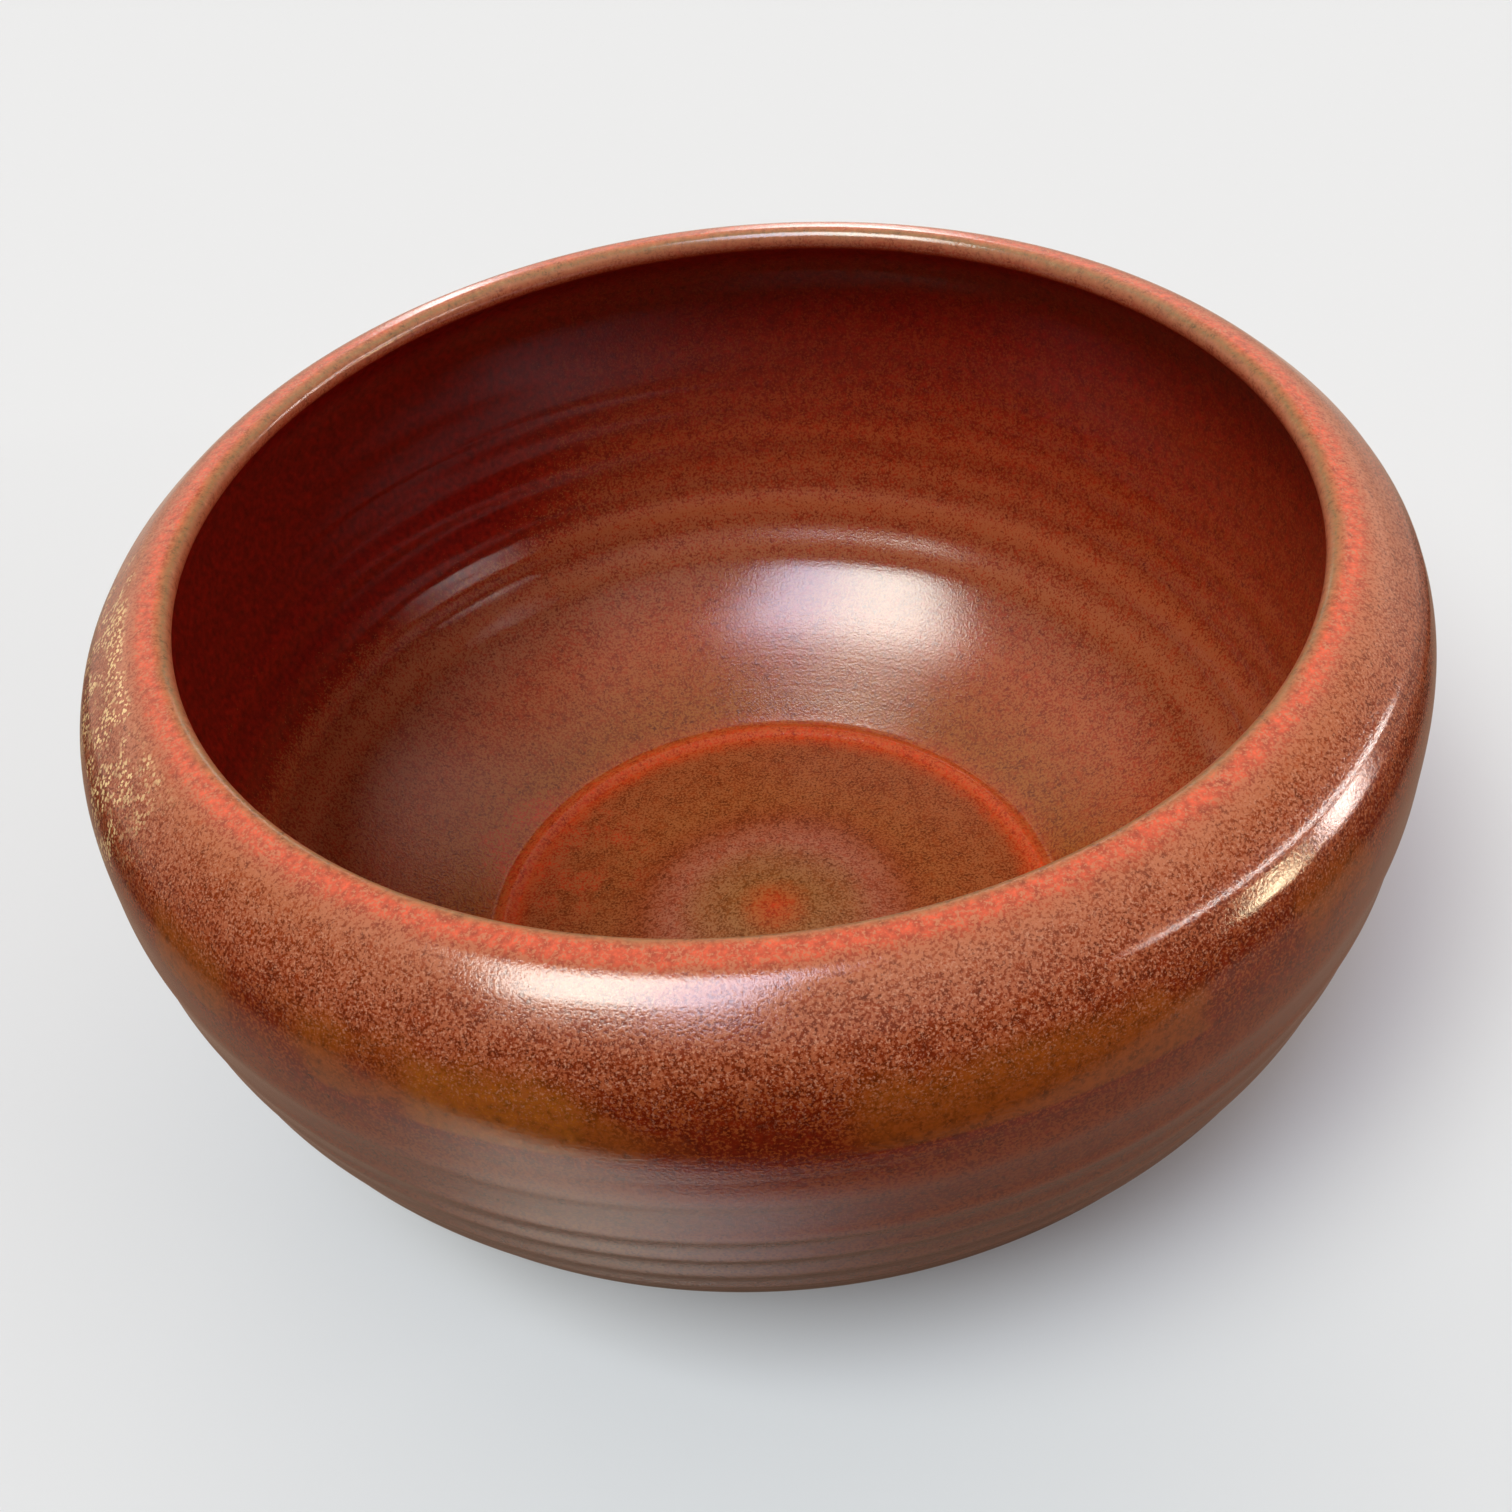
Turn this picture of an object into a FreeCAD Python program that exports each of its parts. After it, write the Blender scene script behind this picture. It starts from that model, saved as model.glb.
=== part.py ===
import FreeCAD, Part
import math
import os

# Wheel-thrown bowl with a closed-in shoulder, a full-round lip and a turned foot ring.
# Millimetres, +Z up, origin on the bowl's axis in the plane that it rests on.
# The clay is one thrown and turned piece. The inside was glazed by pouring and the
# outside by dipping, and the two coats meet on the top of the lip.
# Each outline is drawn on the glazed face, and the clay's face lies one coat behind it.

# Overall form, measured on the glazed surface
WIDEST_RADIUS = 125.0
WIDEST_HEIGHT = 92.9
LIP_RADIUS = 106.1
LIP_HEIGHT = 118.8
LIP_ANGLE = 78

# Wall, from the glazed outside to the glazed inside
WALL_AT_LIP = 5.0
WALL_AT_WIDEST = 6.3
WALL_AT_BASE = 8.0

# Floor of the inside: the ridge where the wall meets it, and the rise at its centre
FLOOR_HEIGHT = 10.5
FLOOR_RADIUS = 61.0
FLOOR_RIDGE_WIDTH = 5.0
FLOOR_RIDGE_HEIGHT = 1.0
FLOOR_RIDGE_STEP = 0.8
CENTRE_RISE_HEIGHT = 3.1
CENTRE_RISE_RADIUS = 34.0

# Turned foot ring and shallow recess, bare clay
FOOT_RADIUS = 62.0
FOOT_WIDTH = 7.5
FOOT_HEIGHT = 4.6
FOOT_TAPER = 0.7
FOOT_EDGE_RADIUS = 1.2
FOOT_RECESS_DEPTH = 3.5
BARE_SHELF_WIDTH = 3.4
BARE_SHELF_RISE = 0.6

# Glaze coats
GLAZE_THICKNESS = 0.5

# Shoulder, from the lip to the widest place: share of the way out, share of the way up
SHOULDER_SHARES = (
    (0.200, 0.967),
    (0.516, 0.822),
    (0.706, 0.698),
    (0.891, 0.494),
)
# Lower wall, from the widest place to the foot: share of the way in, share of the way down
LOWER_WALL_SHARES = (
    (0.025, 0.190),
    (0.118, 0.444),
    (0.213, 0.590),
    (0.410, 0.764),
    (0.770, 0.935),
)

FULL_TURN = 360
HALF_TURN = 180
QUARTER_TURN = 90
CLAY_INSIDE = 1
CLAY_OUTSIDE = -1
AXIS_BASE = FreeCAD.Vector(0, 0, 0)
AXIS_UP = FreeCAD.Vector(0, 0, 1)
INWARD = FreeCAD.Vector(-1, 0, 0)


def spot(radius, height):
    """A point of the half section, which lies in the XZ plane."""
    return FreeCAD.Vector(radius, 0, height)


def turned(angle):
    """The direction at an angle above level, pointing out from the axis."""
    return spot(math.cos(math.radians(angle)), math.sin(math.radians(angle)))


def line(start, end):
    """A straight edge."""
    return Part.LineSegment(start, end).toShape()


def arc(start, middle, end):
    """A round edge through three points."""
    return Part.Arc(start, middle, end).toShape()


def tangent_arc(start, direction, end):
    """A round edge that leaves its start in a given direction."""
    chord = end - start
    along = chord.normalize()
    length = (end - start).Length
    side = direction - along * direction.dot(along)
    side.normalize()
    turn = direction.getAngle(along)
    return arc(start, (start + end) * 0.5 + side * (length / 2 * math.tan(turn / 2)), end)


def spin(edges):
    """The solid that a closed half section makes round the bowl's axis."""
    face = Part.Face(Part.Wire(Part.__sortEdges__(edges)))
    return face.revolve(AXIS_BASE, AXIS_UP, FULL_TURN)


class Guide:
    """A smooth line down one glazed side of the wall, from the lip, and its way into the clay."""

    def __init__(self, points, start_direction, clay_side):
        self.points = points
        self.clay_side = clay_side
        self.curve = Part.BSplineCurve()
        self.curve.interpolate(
            Points=points,
            Tangents=[start_direction] * len(points),
            TangentFlags=[True] + [False] * (len(points) - 1),
        )

    def place(self, parameter, depth):
        """The point that lies a depth behind the glazed face, at a place along the line."""
        along = self.curve.tangent(parameter)[0]
        into_clay = FreeCAD.Vector(along.z, 0, -along.x) * self.clay_side
        return self.curve.value(parameter) + into_clay * depth

    def end(self, depth):
        """The lower end of the face that lies a depth behind the glazed one."""
        return self.place(self.curve.LastParameter, depth)

    def edges(self, depth):
        """The face a depth behind the glazed one, an arc from each point to the next."""
        stops = [self.curve.parameter(point) for point in self.points]
        arcs = []
        for here, there in zip(stops, stops[1:]):
            places = (here, (here + there) / 2, there)
            arcs.append(arc(*[self.place(place, depth) for place in places]))
        return arcs


def wall_at(height):
    """The wall's thickness at a height of its outside."""
    if height > WIDEST_HEIGHT:
        share = (height - WIDEST_HEIGHT) / (LIP_HEIGHT - WIDEST_HEIGHT)
        return WALL_AT_WIDEST + share * (WALL_AT_LIP - WALL_AT_WIDEST)
    share = (WIDEST_HEIGHT - height) / WIDEST_HEIGHT
    return WALL_AT_WIDEST + share * (WALL_AT_BASE - WALL_AT_WIDEST)


def outer_guide():
    """The outside, from the lip over the shoulder and down to the end of the glaze."""
    start = spot(LIP_RADIUS, LIP_HEIGHT) + turned(LIP_ANGLE) * (WALL_AT_LIP / 2)
    end = spot(FOOT_RADIUS + BARE_SHELF_WIDTH, FOOT_HEIGHT + BARE_SHELF_RISE)
    way_out = WIDEST_RADIUS - start.x
    way_up = start.z - WIDEST_HEIGHT
    way_in = WIDEST_RADIUS - end.x
    way_down = WIDEST_HEIGHT - end.z
    points = [start]
    for out_share, up_share in SHOULDER_SHARES:
        points.append(spot(start.x + out_share * way_out, WIDEST_HEIGHT + up_share * way_up))
    points.append(spot(WIDEST_RADIUS, WIDEST_HEIGHT))
    for in_share, down_share in LOWER_WALL_SHARES:
        points.append(spot(WIDEST_RADIUS - in_share * way_in, WIDEST_HEIGHT - down_share * way_down))
    points.append(end)
    return Guide(points, turned(LIP_ANGLE - QUARTER_TURN), CLAY_INSIDE)


def inner_guide(outer):
    """The inside, one wall behind the outside, from the lip down to the ridge on the floor."""
    start = spot(LIP_RADIUS, LIP_HEIGHT) - turned(LIP_ANGLE) * (WALL_AT_LIP / 2)
    ridge_outside = spot(FLOOR_RADIUS + FLOOR_RIDGE_WIDTH / 2, FLOOR_HEIGHT + FLOOR_RIDGE_STEP)
    points = [start]
    for point in outer.points[1:-1]:
        points.append(outer.place(outer.curve.parameter(point), wall_at(point.z)))
    points.append(ridge_outside)
    return Guide(points, turned(LIP_ANGLE - QUARTER_TURN), CLAY_OUTSIDE)


def floor(start, depth):
    """The floor of the inside, from the ridge's outer edge to the axis."""
    crest = spot(FLOOR_RADIUS, FLOOR_HEIGHT + FLOOR_RIDGE_HEIGHT - depth)
    ridge_inside = spot(FLOOR_RADIUS - FLOOR_RIDGE_WIDTH / 2, FLOOR_HEIGHT - depth)
    rise_foot = spot(CENTRE_RISE_RADIUS, FLOOR_HEIGHT - depth)
    rise_middle = spot(CENTRE_RISE_RADIUS / 2, FLOOR_HEIGHT + CENTRE_RISE_HEIGHT / 2 - depth)
    centre = spot(0, FLOOR_HEIGHT + CENTRE_RISE_HEIGHT - depth)
    return [
        arc(start, crest, ridge_inside),
        line(ridge_inside, rise_foot),
        tangent_arc(rise_foot, INWARD, rise_middle),
        tangent_arc(centre, -INWARD, rise_middle),
    ], centre


def lip(start_angle, end_angle, depth):
    """The round of the lip between two angles, a depth behind the glazed face."""
    centre = spot(LIP_RADIUS, LIP_HEIGHT)
    radius = WALL_AT_LIP / 2 - depth
    middle_angle = (start_angle + end_angle) / 2
    return arc(
        centre + turned(start_angle) * radius,
        centre + turned(middle_angle) * radius,
        centre + turned(end_angle) * radius,
    )


def rounded_corner(before, corner, after, radius):
    """Start, middle and end of the arc that rounds a corner."""
    back = (before - corner).normalize()
    on = (after - corner).normalize()
    half = back.getAngle(on) / 2
    reach = radius / math.tan(half)
    centre_way = (back + on).normalize()
    centre = corner + centre_way * (radius / math.sin(half))
    return corner + back * reach, centre - centre_way * radius, corner + on * reach


def foot(start):
    """The bare clay under the bowl, from the end of the outer wall to the axis."""
    root = spot(FOOT_RADIUS, FOOT_HEIGHT)
    outer_toe = spot(FOOT_RADIUS - FOOT_TAPER, 0)
    inner_toe = spot(FOOT_RADIUS - FOOT_WIDTH + FOOT_TAPER, 0)
    inner_root = spot(FOOT_RADIUS - FOOT_WIDTH, FOOT_RECESS_DEPTH)
    outer_round = rounded_corner(root, outer_toe, inner_toe, FOOT_EDGE_RADIUS)
    inner_round = rounded_corner(outer_toe, inner_toe, inner_root, FOOT_EDGE_RADIUS)
    underside = spot(0, FOOT_RECESS_DEPTH)
    return [
        line(start, root),
        line(root, outer_round[0]),
        arc(*outer_round),
        line(outer_round[-1], inner_round[0]),
        arc(*inner_round),
        line(inner_round[-1], inner_root),
        line(inner_root, underside),
    ], underside


def main():
    outer = outer_guide()
    inner = inner_guide(outer)
    outer_clay = outer.edges(GLAZE_THICKNESS)
    outer_clay.append(lip(LIP_ANGLE, QUARTER_TURN, GLAZE_THICKNESS))
    outer_glaze = outer.edges(0)
    outer_glaze.append(lip(LIP_ANGLE, QUARTER_TURN, 0))
    clay_floor, clay_centre = floor(inner.end(GLAZE_THICKNESS), GLAZE_THICKNESS)
    inner_clay = inner.edges(GLAZE_THICKNESS) + clay_floor
    inner_clay.append(lip(QUARTER_TURN, LIP_ANGLE + HALF_TURN, GLAZE_THICKNESS))
    glaze_floor, glaze_centre = floor(inner.end(0), 0)
    inner_glaze = inner.edges(0) + glaze_floor
    inner_glaze.append(lip(QUARTER_TURN, LIP_ANGLE + HALF_TURN, 0))
    lip_top = spot(LIP_RADIUS, LIP_HEIGHT + WALL_AT_LIP / 2)
    coats_meet = line(lip_top, lip_top - AXIS_UP * GLAZE_THICKNESS)
    glaze_end = line(outer.end(GLAZE_THICKNESS), outer.end(0))
    bare_clay, underside_centre = foot(outer.end(GLAZE_THICKNESS))

    pieces = {
        "clay_body": outer_clay + inner_clay + bare_clay + [line(clay_centre, underside_centre)],
        "glaze_outside": outer_clay + outer_glaze + [coats_meet, glaze_end],
        "glaze_inside": inner_clay + inner_glaze + [coats_meet, line(clay_centre, glaze_centre)],
    }
    os.makedirs("parts", exist_ok=True)
    for name, half_section in pieces.items():
        solid = spin(half_section)
        solid.exportStep("parts/" + name + ".step")
        print(name, solid.ShapeType, solid.isValid(), solid.Volume)


main()
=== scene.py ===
import math

import bpy
import numpy as np
from mathutils import Matrix, Vector


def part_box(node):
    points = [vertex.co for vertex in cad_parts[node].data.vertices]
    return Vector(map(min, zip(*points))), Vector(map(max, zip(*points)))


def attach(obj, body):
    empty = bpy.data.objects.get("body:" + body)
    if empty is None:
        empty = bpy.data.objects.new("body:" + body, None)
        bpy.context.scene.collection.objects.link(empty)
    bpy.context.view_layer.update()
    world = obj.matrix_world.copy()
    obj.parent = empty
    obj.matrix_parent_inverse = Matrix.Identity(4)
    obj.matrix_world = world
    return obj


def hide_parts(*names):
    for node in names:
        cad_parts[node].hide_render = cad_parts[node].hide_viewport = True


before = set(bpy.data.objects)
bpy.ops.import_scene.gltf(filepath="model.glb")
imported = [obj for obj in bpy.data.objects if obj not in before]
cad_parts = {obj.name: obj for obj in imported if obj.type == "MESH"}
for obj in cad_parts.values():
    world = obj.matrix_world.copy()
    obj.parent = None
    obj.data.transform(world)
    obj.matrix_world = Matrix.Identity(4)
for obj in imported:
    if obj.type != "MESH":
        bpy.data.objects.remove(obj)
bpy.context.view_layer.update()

# Units: the outlines are drawn in millimetres and the meshes are in metres
MM = 0.001
FULL_TURN = 2 * math.pi

# Driving sizes of the glazed bowl, from the frame, in millimetres
GLAZE_LOW, GLAZE_HIGH = (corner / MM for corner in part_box("glaze_outside"))
_, CLAY_HIGH = (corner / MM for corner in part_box("clay_body"))
WIDEST_RADIUS = GLAZE_HIGH.x
GLAZE_END_HEIGHT = GLAZE_LOW.z
LIP_TOP = GLAZE_HIGH.z
GLAZE_THICKNESS = GLAZE_HIGH.z - CLAY_HIGH.z

# The outline of the glazed surface, in millimetres, as the solids have it
WIDEST_HEIGHT = 92.9
LIP_RADIUS = 106.1
LIP_ANGLE = math.radians(78)
WALL_AT_LIP = 5.0
WALL_AT_WIDEST = 6.3
WALL_AT_BASE = 8.0
FLOOR_HEIGHT = 10.5
FLOOR_RADIUS = 61.0
FLOOR_RIDGE_WIDTH = 5.0
FLOOR_RIDGE_HEIGHT = 1.0
FLOOR_RIDGE_STEP = 0.8
CENTRE_RISE_HEIGHT = 3.1
CENTRE_RISE_RADIUS = 34.0
FOOT_RADIUS = 62.0
FOOT_WIDTH = 7.5
FOOT_HEIGHT = 4.6
FOOT_TAPER = 0.7
FOOT_EDGE_RADIUS = 1.2
FOOT_RECESS_DEPTH = 3.5
BARE_SHELF_WIDTH = 3.4
# Shoulder: share of the way out from the lip, share of the way up. Lower wall: share in, share down
SHOULDER_SHARES = ((0.200, 0.967), (0.516, 0.822), (0.706, 0.698), (0.891, 0.494))
LOWER_WALL_SHARES = ((0.025, 0.190), (0.118, 0.444), (0.213, 0.590), (0.410, 0.764), (0.770, 0.935))

LIP_CENTRE = np.array((LIP_RADIUS, LIP_TOP - WALL_AT_LIP / 2))

# Mesh fineness, in millimetres along the outline and in steps round the bowl
FACE_STEP = 0.6
LIP_STEP = FACE_STEP / 3
FOOT_EDGE_STEP = FACE_STEP / 4
HIDDEN_STEP = 4.0
SEGMENTS = 512
ANGLES = np.arange(SEGMENTS) / SEGMENTS * FULL_TURN
SHARP_ANGLE = math.radians(40)

# What the thrower's hands left: the lip's lean, which fades in up the wall, and the rings' unevenness
LIP_LEAN = math.radians(1.09)
LEAN_FROM, LEAN_FULL = WIDEST_HEIGHT - 25, LIP_TOP - 5
RING_WANDER = 0.45
RING_VARIATION = 0.25
RINGS_FROM, RINGS_FULL = 8, 14
WANDER_WAVES = 5
WANDER_FADE = 0.7
WANDER_SCALE = 0.9
OUTSIDE_SEED = 11
INSIDE_SEED = 47

# A ring's underside is steeper than its top, by this share of its softness
UNDERSIDE_SHARE = 0.65
RAMP_STEEPNESS = 0.8

# The photograph's view: the camera's distance from the middle of the widest place, in millimetres,
# its height and roll in radians, and how far it aims off that middle, in radians
CAMERA_DISTANCE = 359.9
CAMERA_ELEVATION = math.radians(38.62)
CAMERA_ROLL = math.radians(-5.35)
CAMERA_TURN = -0.0025
CAMERA_DROP = -0.0695
LENS = 44.38
SENSOR = 36.0
CLIP_START = 10


def polar(angle):
    """The direction at an angle above level, in the half section."""
    return np.array((math.cos(angle), math.sin(angle)))


def smooth_line(points, start_direction):
    """Points about FACE_STEP apart on a smooth curve through points, which starts in a given direction."""
    points = np.array(points)
    chords = np.linalg.norm(np.diff(points, axis=0), axis=1)
    count = len(points)
    system = np.zeros((count, count))
    known = np.zeros((count, 2))
    system[0, 0] = 1
    known[0] = start_direction
    for spot in range(1, count - 1):
        before, after = chords[spot - 1], chords[spot]
        system[spot, spot - 1:spot + 2] = after, 2 * (before + after), before
        rise = (points[spot] - points[spot - 1]) * after / before
        known[spot] = 3 * (rise + (points[spot + 1] - points[spot]) * before / after)
    system[-1, -2:] = 1, 2
    known[-1] = 3 * (points[-1] - points[-2]) / chords[-1]
    slopes = np.linalg.solve(system, known)
    line = [points[:1]]
    for spot, chord in enumerate(chords):
        steps = math.ceil(chord / FACE_STEP)
        share = (np.arange(1, steps + 1) / steps)[:, None]
        start_pull = slopes[spot] * chord
        end_pull = slopes[spot + 1] * chord
        travel = points[spot + 1] - points[spot]
        line.append(
            points[spot] + travel * share ** 2 * (3 - 2 * share)
            + start_pull * share * (1 - share) ** 2 - end_pull * share ** 2 * (1 - share)
        )
    return np.concatenate(line)


def arc_line(centre, radius, start_angle, end_angle, step=FACE_STEP):
    """Points round part of a circle in the half section."""
    steps = math.ceil(abs(end_angle - start_angle) * radius / step)
    angles = np.linspace(start_angle, end_angle, steps + 1)
    return np.array([centre + polar(angle) * radius for angle in angles])


def straight_line(start, end):
    """Points about FACE_STEP apart from start to end."""
    start, end = np.array(start), np.array(end)
    steps = max(1, math.ceil(np.linalg.norm(end - start) / FACE_STEP))
    return start + (end - start) * np.linspace(0, 1, steps + 1)[:, None]


def joined(*lines):
    """Lines end to end as one, without the doubled ends."""
    return np.concatenate([lines[0]] + [line[1:] for line in lines[1:]])


def normals_of(line, side):
    """Unit normals of a line in the half section, to the left of its way along for side 1."""
    along = np.gradient(line, axis=0)
    along /= np.linalg.norm(along, axis=1)[:, None]
    return np.stack([-along[:, 1], along[:, 0]], axis=1) * side


def wall_at(height):
    """The wall's thickness at a height of its outside."""
    heights = (0, WIDEST_HEIGHT, LIP_CENTRE[1])
    return np.interp(height, heights, (WALL_AT_BASE, WALL_AT_WIDEST, WALL_AT_LIP))


def draw_outside():
    """The glazed outside from the lip's top down to the end of the glaze."""
    start = LIP_CENTRE + polar(LIP_ANGLE) * WALL_AT_LIP / 2
    end = np.array((FOOT_RADIUS + BARE_SHELF_WIDTH, GLAZE_END_HEIGHT))
    points = [start]
    for out_share, up_share in SHOULDER_SHARES:
        out = start[0] + out_share * (WIDEST_RADIUS - start[0])
        points.append((out, WIDEST_HEIGHT + up_share * (start[1] - WIDEST_HEIGHT)))
    points.append((WIDEST_RADIUS, WIDEST_HEIGHT))
    for in_share, down_share in LOWER_WALL_SHARES:
        out = WIDEST_RADIUS - in_share * (WIDEST_RADIUS - end[0])
        points.append((out, WIDEST_HEIGHT - down_share * (WIDEST_HEIGHT - end[1])))
    points.append(end)
    wall = smooth_line(points, polar(LIP_ANGLE - math.pi / 2))
    lip = arc_line(LIP_CENTRE, WALL_AT_LIP / 2, math.pi / 2, LIP_ANGLE, LIP_STEP)
    return joined(lip, wall)


def nearest(values, value):
    """Which of the values is nearest to a value."""
    return int(np.argmin(abs(values - value)))


def draw_inside(outside):
    """The glazed inside from the lip's top down to the middle of the floor."""
    start = LIP_CENTRE - polar(LIP_ANGLE) * WALL_AT_LIP / 2
    outward = normals_of(outside, 1)
    widest = int(np.argmax(outside[:, 0]))
    shoulder, lower_wall = outside[:widest + 1, 0], outside[widest:, 0]
    lip_end = LIP_RADIUS + math.cos(LIP_ANGLE) * WALL_AT_LIP / 2
    glaze_end = FOOT_RADIUS + BARE_SHELF_WIDTH
    spots = []
    for out_share, _ in SHOULDER_SHARES:
        spots.append(nearest(shoulder, lip_end + out_share * (WIDEST_RADIUS - lip_end)))
    spots.append(widest)
    for in_share, _ in LOWER_WALL_SHARES:
        spots.append(widest + nearest(lower_wall, WIDEST_RADIUS - in_share * (WIDEST_RADIUS - glaze_end)))
    points = [start]
    for spot in spots:
        points.append(outside[spot] - outward[spot] * wall_at(outside[spot, 1]))
    ridge_outside = np.array((FLOOR_RADIUS + FLOOR_RIDGE_WIDTH / 2, FLOOR_HEIGHT + FLOOR_RIDGE_STEP))
    points.append(ridge_outside)
    wall = smooth_line(points, polar(LIP_ANGLE - math.pi / 2))
    lip = arc_line(LIP_CENTRE, WALL_AT_LIP / 2, math.pi / 2, math.pi + LIP_ANGLE, LIP_STEP)
    ridge_inside = np.array((FLOOR_RADIUS - FLOOR_RIDGE_WIDTH / 2, FLOOR_HEIGHT))
    crest = straight_line(ridge_outside, ridge_inside)
    across = np.linspace(0, 1, len(crest))
    crest[:, 1] += FLOOR_RIDGE_HEIGHT * (1 - FLOOR_RIDGE_STEP / 2) * np.sin(across * math.pi) ** 2
    rest = straight_line(ridge_inside, (0, FLOOR_HEIGHT))
    inner = np.clip(1 - rest[:, 0] / CENTRE_RISE_RADIUS, 0, 1)
    rest[:, 1] += CENTRE_RISE_HEIGHT * inner ** 2 * (3 - 2 * inner)
    return joined(lip, wall, crest, rest)


def run_length(line):
    """How far along a line each of its points is."""
    return np.concatenate([[0], np.cumsum(np.linalg.norm(np.diff(line, axis=0), axis=1))])


def wander(seed):
    """A smooth closed wavering round the bowl, between about -1 and 1."""
    draw = np.random.default_rng(seed)
    total = np.zeros(SEGMENTS)
    for wave in range(1, WANDER_WAVES + 1):
        total += np.sin(wave * ANGLES + draw.uniform(0, FULL_TURN)) / wave ** WANDER_FADE
    return total / math.sqrt(WANDER_WAVES) * WANDER_SCALE


def smooth_step(value, low, high):
    """0 below low, 1 above high, and smooth between."""
    share = np.clip((value - low) / (high - low), 0, 1)
    return share * share * (3 - 2 * share)


# Ridges left by the fingers, in millimetres: height of the steep underside, of the sloping top,
# how far they stand out, softness
INSIDE_RIDGES = (
    (36.0, 40.6, 0.48, 2.2),
    (44.4, 48.8, 0.74, 1.9),
    (52.8, 56.4, 0.38, 1.8),
    (60.8, 65.0, 0.46, 1.9),
    (69.2, 72.4, 0.24, 1.7),
    (75.8, 77.2, 0.14, 0.8),
    (84.5, 88.5, 0.14, 2.0),
)
OUTSIDE_RIDGES = (
    (112.2, 113.8, 0.09, 0.7),
    (108.4, 110.4, 0.12, 0.8),
    (83.0, 88.5, 0.30, 2.2),
    (71.4, 74.6, 0.44, 1.6),
    (63.3, 66.4, 0.50, 1.5),
    (54.5, 58.6, 0.52, 1.6),
    (46.5, 50.4, 0.48, 1.6),
    (38.4, 42.2, 0.44, 1.7),
    (30.4, 34.0, 0.32, 1.8),
    (22.4, 25.8, 0.28, 1.8),
)


def ramped(away):
    """A smooth rise from 0 to 1 about two softnesses to each side of 0."""
    return 0.5 + 0.5 * np.tanh(RAMP_STEEPNESS * away)


def finger_ridges(heights, ridges, seed):
    """How far the surface stands out at each height and angle, in millimetres."""
    relief = np.zeros((len(heights), SEGMENTS))
    for number, (underside, top, stand, softness) in enumerate(ridges):
        shift = RING_WANDER * wander(seed + number)[None, :]
        strength = stand * (1 + RING_VARIATION * wander(seed + number + len(ridges)))[None, :]
        rise = ramped((heights[:, None] - underside - shift) / (softness * UNDERSIDE_SHARE))
        fall = ramped((heights[:, None] - top - shift) / softness)
        relief += strength * (rise - fall)
    return relief


def revolve(line, normals, relief, depth):
    """Rings of points round the bowl, a depth behind the surface, with the lip's lean."""
    stand = relief - depth
    radius = line[:, 0, None] + normals[:, 0, None] * stand
    height = line[:, 1, None] + normals[:, 1, None] * stand
    x = radius * np.cos(ANGLES)[None, :]
    y = radius * np.sin(ANGLES)[None, :]
    height = height + math.tan(LIP_LEAN) * x * smooth_step(height, LEAN_FROM, LEAN_FULL)
    return np.stack([x, y, height], axis=2) * MM


def skin(name, rings, closed, marks):
    """A piece's mesh from rings of points. An open run of rings is closed by a point at each end."""
    count = len(rings)
    points = rings.reshape(-1, 3)
    first = np.arange(count if closed else count - 1)
    second = (first + 1) % count
    here = np.arange(SEGMENTS)
    there = (here + 1) % SEGMENTS
    quads = np.stack([
        first[:, None] * SEGMENTS + here,
        first[:, None] * SEGMENTS + there,
        second[:, None] * SEGMENTS + there,
        second[:, None] * SEGMENTS + here,
    ], axis=2).reshape(-1, 4)
    faces = quads.tolist()
    marks = {mark: np.asarray(values, float).ravel() for mark, values in marks.items()}
    if not closed:
        for ring, flip in ((0, True), (count - 1, False)):
            pole = len(points)
            points = np.concatenate([points, rings[ring].mean(axis=0)[None]])
            for mark in marks:
                marks[mark] = np.append(marks[mark], marks[mark][ring * SEGMENTS])
            for segment in range(SEGMENTS):
                edge = [ring * SEGMENTS + segment, ring * SEGMENTS + (segment + 1) % SEGMENTS]
                faces.append((edge[::-1] if flip else edge) + [pole])
    mesh = bpy.data.meshes.new(name)
    mesh.from_pydata(points.tolist(), [], faces)
    for mark, values in marks.items():
        layer = mesh.attributes.new(mark, "FLOAT", "POINT")
        layer.data.foreach_set("value", values)
    mesh.shade_smooth()
    mesh.set_sharp_from_angle(angle=SHARP_ANGLE)
    mesh.update()
    piece = bpy.data.objects.new(name, mesh)
    bpy.context.scene.collection.objects.link(piece)
    return piece


OUTSIDE = draw_outside()
INSIDE = draw_inside(OUTSIDE)[:-1]
OUTSIDE_NORMALS = normals_of(OUTSIDE, 1)
INSIDE_NORMALS = normals_of(INSIDE, -1)
OUTSIDE_RUN = run_length(OUTSIDE)
INSIDE_RUN = -run_length(INSIDE)


def place_at_height(line, run, height):
    """The signed distance from the lip's top at which a line crosses a height on its way down."""
    low = int(np.argmax(line[:, 0]))
    heights, runs = line[low:, 1], run[low:]
    order = np.argsort(heights)
    return float(np.interp(height, heights[order], runs[order]))


def inside_at_height(height):
    """The place of a height on the inside."""
    return place_at_height(INSIDE, INSIDE_RUN, height)


def outside_at_height(height):
    """The place of a height on the outside."""
    return place_at_height(OUTSIDE, OUTSIDE_RUN, height)


def inside_at_radius(radius):
    """The signed distance from the lip's top at which the floor or belly has a radius."""
    low = int(np.argmax(INSIDE[:, 0]))
    return float(np.interp(-radius, -INSIDE[low:, 0], INSIDE_RUN[low:]))


def relief_of(line, run, ridges, seed):
    """Relief of a glazed surface: ridges on its wall, none at its lip."""
    wall = smooth_step(abs(run), RINGS_FROM, RINGS_FULL)
    return finger_ridges(line[:, 1], ridges, seed) * wall[:, None]


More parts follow.
